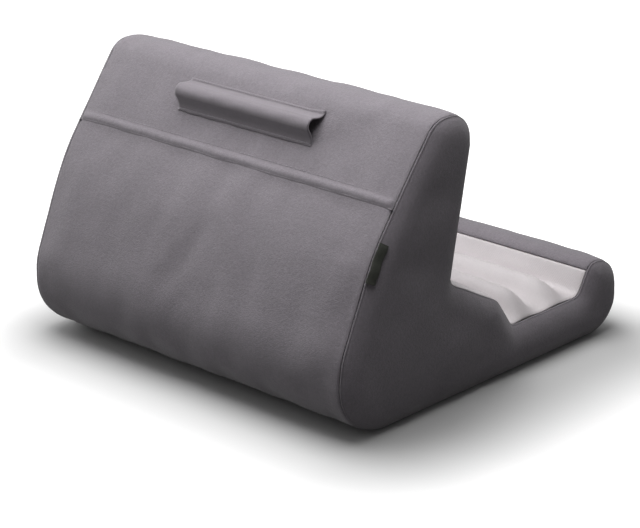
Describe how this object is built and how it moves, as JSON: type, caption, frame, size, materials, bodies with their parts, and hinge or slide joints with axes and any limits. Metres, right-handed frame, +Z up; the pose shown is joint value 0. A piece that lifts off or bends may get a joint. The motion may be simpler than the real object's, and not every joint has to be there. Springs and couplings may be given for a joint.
{
  "type": "tablet cushion stand",
  "caption": "Soft wedge cushion that stands a tablet upright in a padded, ridged tray, with a stylus sleeve on its back and a zipped cloth cover over foam.",
  "frame": {"origin": "on the table, under the middle of the stand's box", "axes": "+X along the width, towards the closed end of the zip; -Y towards the tray and the user; +Z up"},
  "size_m": [0.268, 0.2608, 0.178],
  "materials": {
    "foam": "open-cell foam",
    "cover_cloth": "short suede-like pile",
    "end_cloth": "short suede-like pile",
    "base_cloth": "plain non-slip cloth",
    "lining_cloth": "smooth, slightly lustrous cloth",
    "sleeve_cloth": "smooth close knit",
    "tag_weave": "woven label",
    "zip_tape": "woven tape",
    "zip_coil": "nylon monofilament",
    "zip_metal": "satin enamel"
  },
  "bodies": {
    "stand": {"foam_core": "foam", "bolster_panel": "cover_cloth", "back_lower_panel": "cover_cloth", "base_panel": "base_cloth", "front_roll_panel": "cover_cloth", "tray_lining": "lining_cloth", "left_end_panel": "end_cloth", "right_end_panel": "end_cloth", "stylus_sleeve": "sleeve_cloth", "side_tag": "tag_weave", "zip_tape_upper": "zip_tape", "zip_tape_lower": "zip_tape", "zip_coil_upper": "zip_coil", "zip_coil_lower": "zip_coil", "zip_stop_left": "zip_metal", "zip_stop_right": "zip_metal"},
    "slider": {"zip_slider": "zip_metal"}
  },
  "joints": [
    {"name": "zip_slide", "type": "slide", "parent": "stand", "child": "slider", "axis": [1, 0, 0], "range_m": [-0.1904, 0]}
  ]
}
